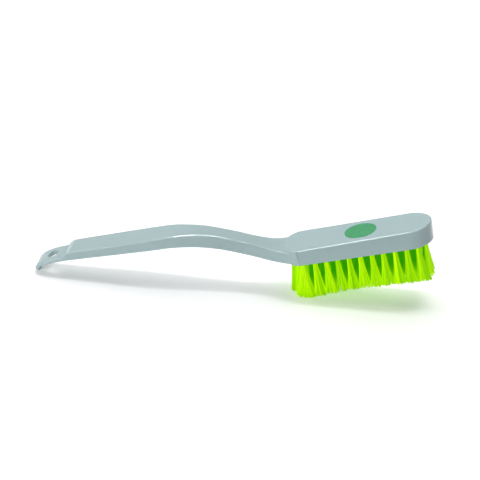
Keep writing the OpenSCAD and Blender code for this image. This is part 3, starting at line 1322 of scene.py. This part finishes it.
    def build(self, material: bpy.types.Material) -> bpy.types.Object:
        """Builds the bundle.

        Args:
            material: The filaments' material.

        Returns:
            The piece that stands for the tuft.
        """
        rng = random.Random(f"tuft {self.tuft.label}")
        strands = self._draw(rng)
        bm = bmesh.new()
        number = bm.verts.layers.int.new("strand_number")
        shade = bm.verts.layers.float.new(self.finish.strand_layer)
        # Painted shade of each point, full at the root and fading towards the tip.
        depth = bm.verts.layers.float.new(self.finish.painted_shade_layer)
        for k, strand in enumerate(strands):
            start = strand.root + Vector((0.0, 0.0, self.root_depth))
            ring = bmesh.ops.create_circle(
                bm, cap_ends=True, segments=self.strand_sides, radius=self.strand_d / 2.0,
                matrix=Matrix.Translation(start) @ Matrix.Rotation(strand.twist, 4, "Z"))["verts"]
            for vert in ring:
                vert[number] = k
                vert[shade] = strand.shade
                vert[depth] = strand.painted_shade
        ends = list(bm.faces)
        for step in range(self.joints + 1):
            made = bmesh.ops.extrude_face_region(bm, geom=ends)["geom"]
            ends = [f for f in made if isinstance(f, bmesh.types.BMFace)]
            for vert in (v for v in made if isinstance(v, bmesh.types.BMVert)):
                strand = strands[vert[number]]
                if step == 0:
                    vert.co.z -= self.root_depth
                    continue
                share, before = step / self.joints, (step - 1) / self.joints
                vert.co += strand.place(share) - strand.place(before)
                # The painted shade fades out along the strand towards the tip.
                vert[depth] = strand.painted_shade * ease(1.0, 0.0, (share - self.fade_from) / self.fade_l)
        bmesh.ops.recalc_face_normals(bm, faces=bm.faces)
        for face in bm.faces:
            face.smooth = True
        bm.verts.layers.int.remove(number)
        mesh = to_mesh(bm, f"bundle_{self.tuft.label}")
        mesh.transform(self.pose.matrix @ self.tuft.stand)
        return to_piece(mesh, f"bundle_{self.tuft.label}", material, "bristle", self.tuft.node)


@dataclass
class AnchorStrips:
    """The anchors, which keep their CAD solids and get the steel's finish."""

    nodes: dict[str, bpy.types.Object]
    finish: StripSteel = StripSteel()

    def dress(self) -> None:
        """Gives every anchor node the steel's material."""
        material = self.finish.build()
        for name, obj in self.nodes.items():
            if name.startswith("anchor"):
                obj.data.materials.clear()
                obj.data.materials.append(material)
                LOG.info("%s: dressed", name)


class LightUse(Enum):
    """What a light is seen by."""

    ALL = "all"
    DIFFUSE = "diffuse"
    GLINT = "glint"


@dataclass(frozen=True)
class SoftLight:
    """One rectangular area light."""

    name: str
    place: tuple[float, float, float]
    target: tuple[float, float, float]
    size: tuple[float, float]
    power: float
    use: LightUse = LightUse.ALL

    def build(self) -> bpy.types.Object:
        """Builds the light.

        Returns:
            The light, aimed at its target.
        """
        data = bpy.data.lights.new(self.name, "AREA")
        data.shape = "RECTANGLE"
        data.size, data.size_y = self.size
        data.energy = self.power
        lamp = add_object(self.name, data)
        lamp.visible_diffuse = self.use is not LightUse.GLINT
        lamp.visible_glossy = self.use is not LightUse.DIFFUSE
        lamp.location = self.place
        aim = Vector(self.target) - Vector(self.place)
        lamp.rotation_euler = aim.to_track_quat("-Z", "Y").to_euler()
        return lamp


@dataclass
class Studio:
    """The floor, the lights, the world and the camera."""

    azimuth: float = math.radians(8.0)
    elevation: float = math.radians(32.0)
    distance: float = 1.2
    target: tuple[float, float, float] = (0.00968, 0.0, 0.05275)
    view_width: float = 0.48
    sensor: float = 36.0
    floor_size: float = 6.0
    ambient: float = 0.06
    finish: FloorFinish = FloorFinish()
    lights: tuple[SoftLight, ...] = (
        SoftLight("key_light", (0.25, 0.18, 1.50), (0.25, 0.0, 0.03), (1.0, 0.12), 6.6),
        SoftLight("top_light", (0.0, 0.60, 1.60), (0.0, 0.0, 0.03), (2.4, 1.6), 21.0,
                  LightUse.DIFFUSE),
        SoftLight("front_light", (-1.20, -1.50, 0.45), (0.0, 0.0, 0.03), (1.0, 1.0), 22.0),
        SoftLight("block_glint", (-0.50, -0.30, 1.45), (-0.1, 0.0, 0.05), (0.5, 0.12), 34.0,
                  LightUse.GLINT),
        SoftLight("neck_glint", (0.15, -0.33, 1.45), (0.0, 0.0, 0.05), (0.5, 0.12), 14.0,
                  LightUse.GLINT),
    )

    def _floor(self) -> None:
        """Adds the floor."""
        bm = bmesh.new()
        bmesh.ops.create_grid(bm, x_segments=1, y_segments=1, size=self.floor_size / 2.0)
        mesh = to_mesh(bm, "floor")
        mesh.materials.append(self.finish.build())
        add_object("floor", mesh)

    def _world(self) -> None:
        """Lights the scene evenly, and shows white to the camera and in reflections."""
        world = bpy.data.worlds.new("studio")
        bpy.context.scene.world = world
        nodes = NodeTree(world)
        strength = nodes.remap(nodes.seen_directly(), 0.0, 1.0, self.ambient, 1.0)
        background = nodes.add("ShaderNodeBackground")
        background.inputs["Color"].default_value = (1.0, 1.0, 1.0, 1.0)
        nodes.link(strength, background.inputs["Strength"])
        nodes.end_with(background.outputs[0], "ShaderNodeOutputWorld")

    def _camera(self) -> None:
        """Adds the camera at the photograph's viewing angle."""
        data = bpy.data.cameras.new("camera")
        data.sensor_width = self.sensor
        data.lens = self.sensor * self.distance / self.view_width
        camera = add_object("camera", data)
        back = Vector((math.sin(self.azimuth) * math.cos(self.elevation),
                       -math.cos(self.azimuth) * math.cos(self.elevation),
                       math.sin(self.elevation)))
        camera.location = Vector(self.target) + back * self.distance
        camera.rotation_euler = (-back).to_track_quat("-Z", "Y").to_euler()
        bpy.context.scene.camera = camera

    def build(self) -> None:
        """Sets up the whole studio."""
        bpy.context.scene.view_settings.view_transform = "Standard"
        self._floor()
        self._world()
        self._camera()
        for light in self.lights:
            light.build()


def main(frame: dict[str, object]) -> None:
    """Builds the brush's pieces and the studio.
    """
    logging.basicConfig(level=logging.INFO, format="%(name)s: %(message)s")
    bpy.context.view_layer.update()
    block = BlockForm()
    handle = HandleForm(block)
    pattern = TuftPattern()
    pose = BrushPose(handle, pattern, block)
    LOG.info("tilt %.3f degrees, middle %.3f, floor %.3f", math.degrees(pose.angle),
             pose.middle_x, pose.floor_z)
    MouldedBody(block, handle, pattern, pose).build()
    OvalLabel(block, pose).build()
    filament = FilamentFinish()
    material = filament.build()
    for tuft in pattern.tufts():
        FilamentBundle(tuft, pattern, pose, filament).build(material)
    AnchorStrips(frame["nodes"]).dress()
    Studio().build()


if __name__ == "__main__":
    main(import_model())
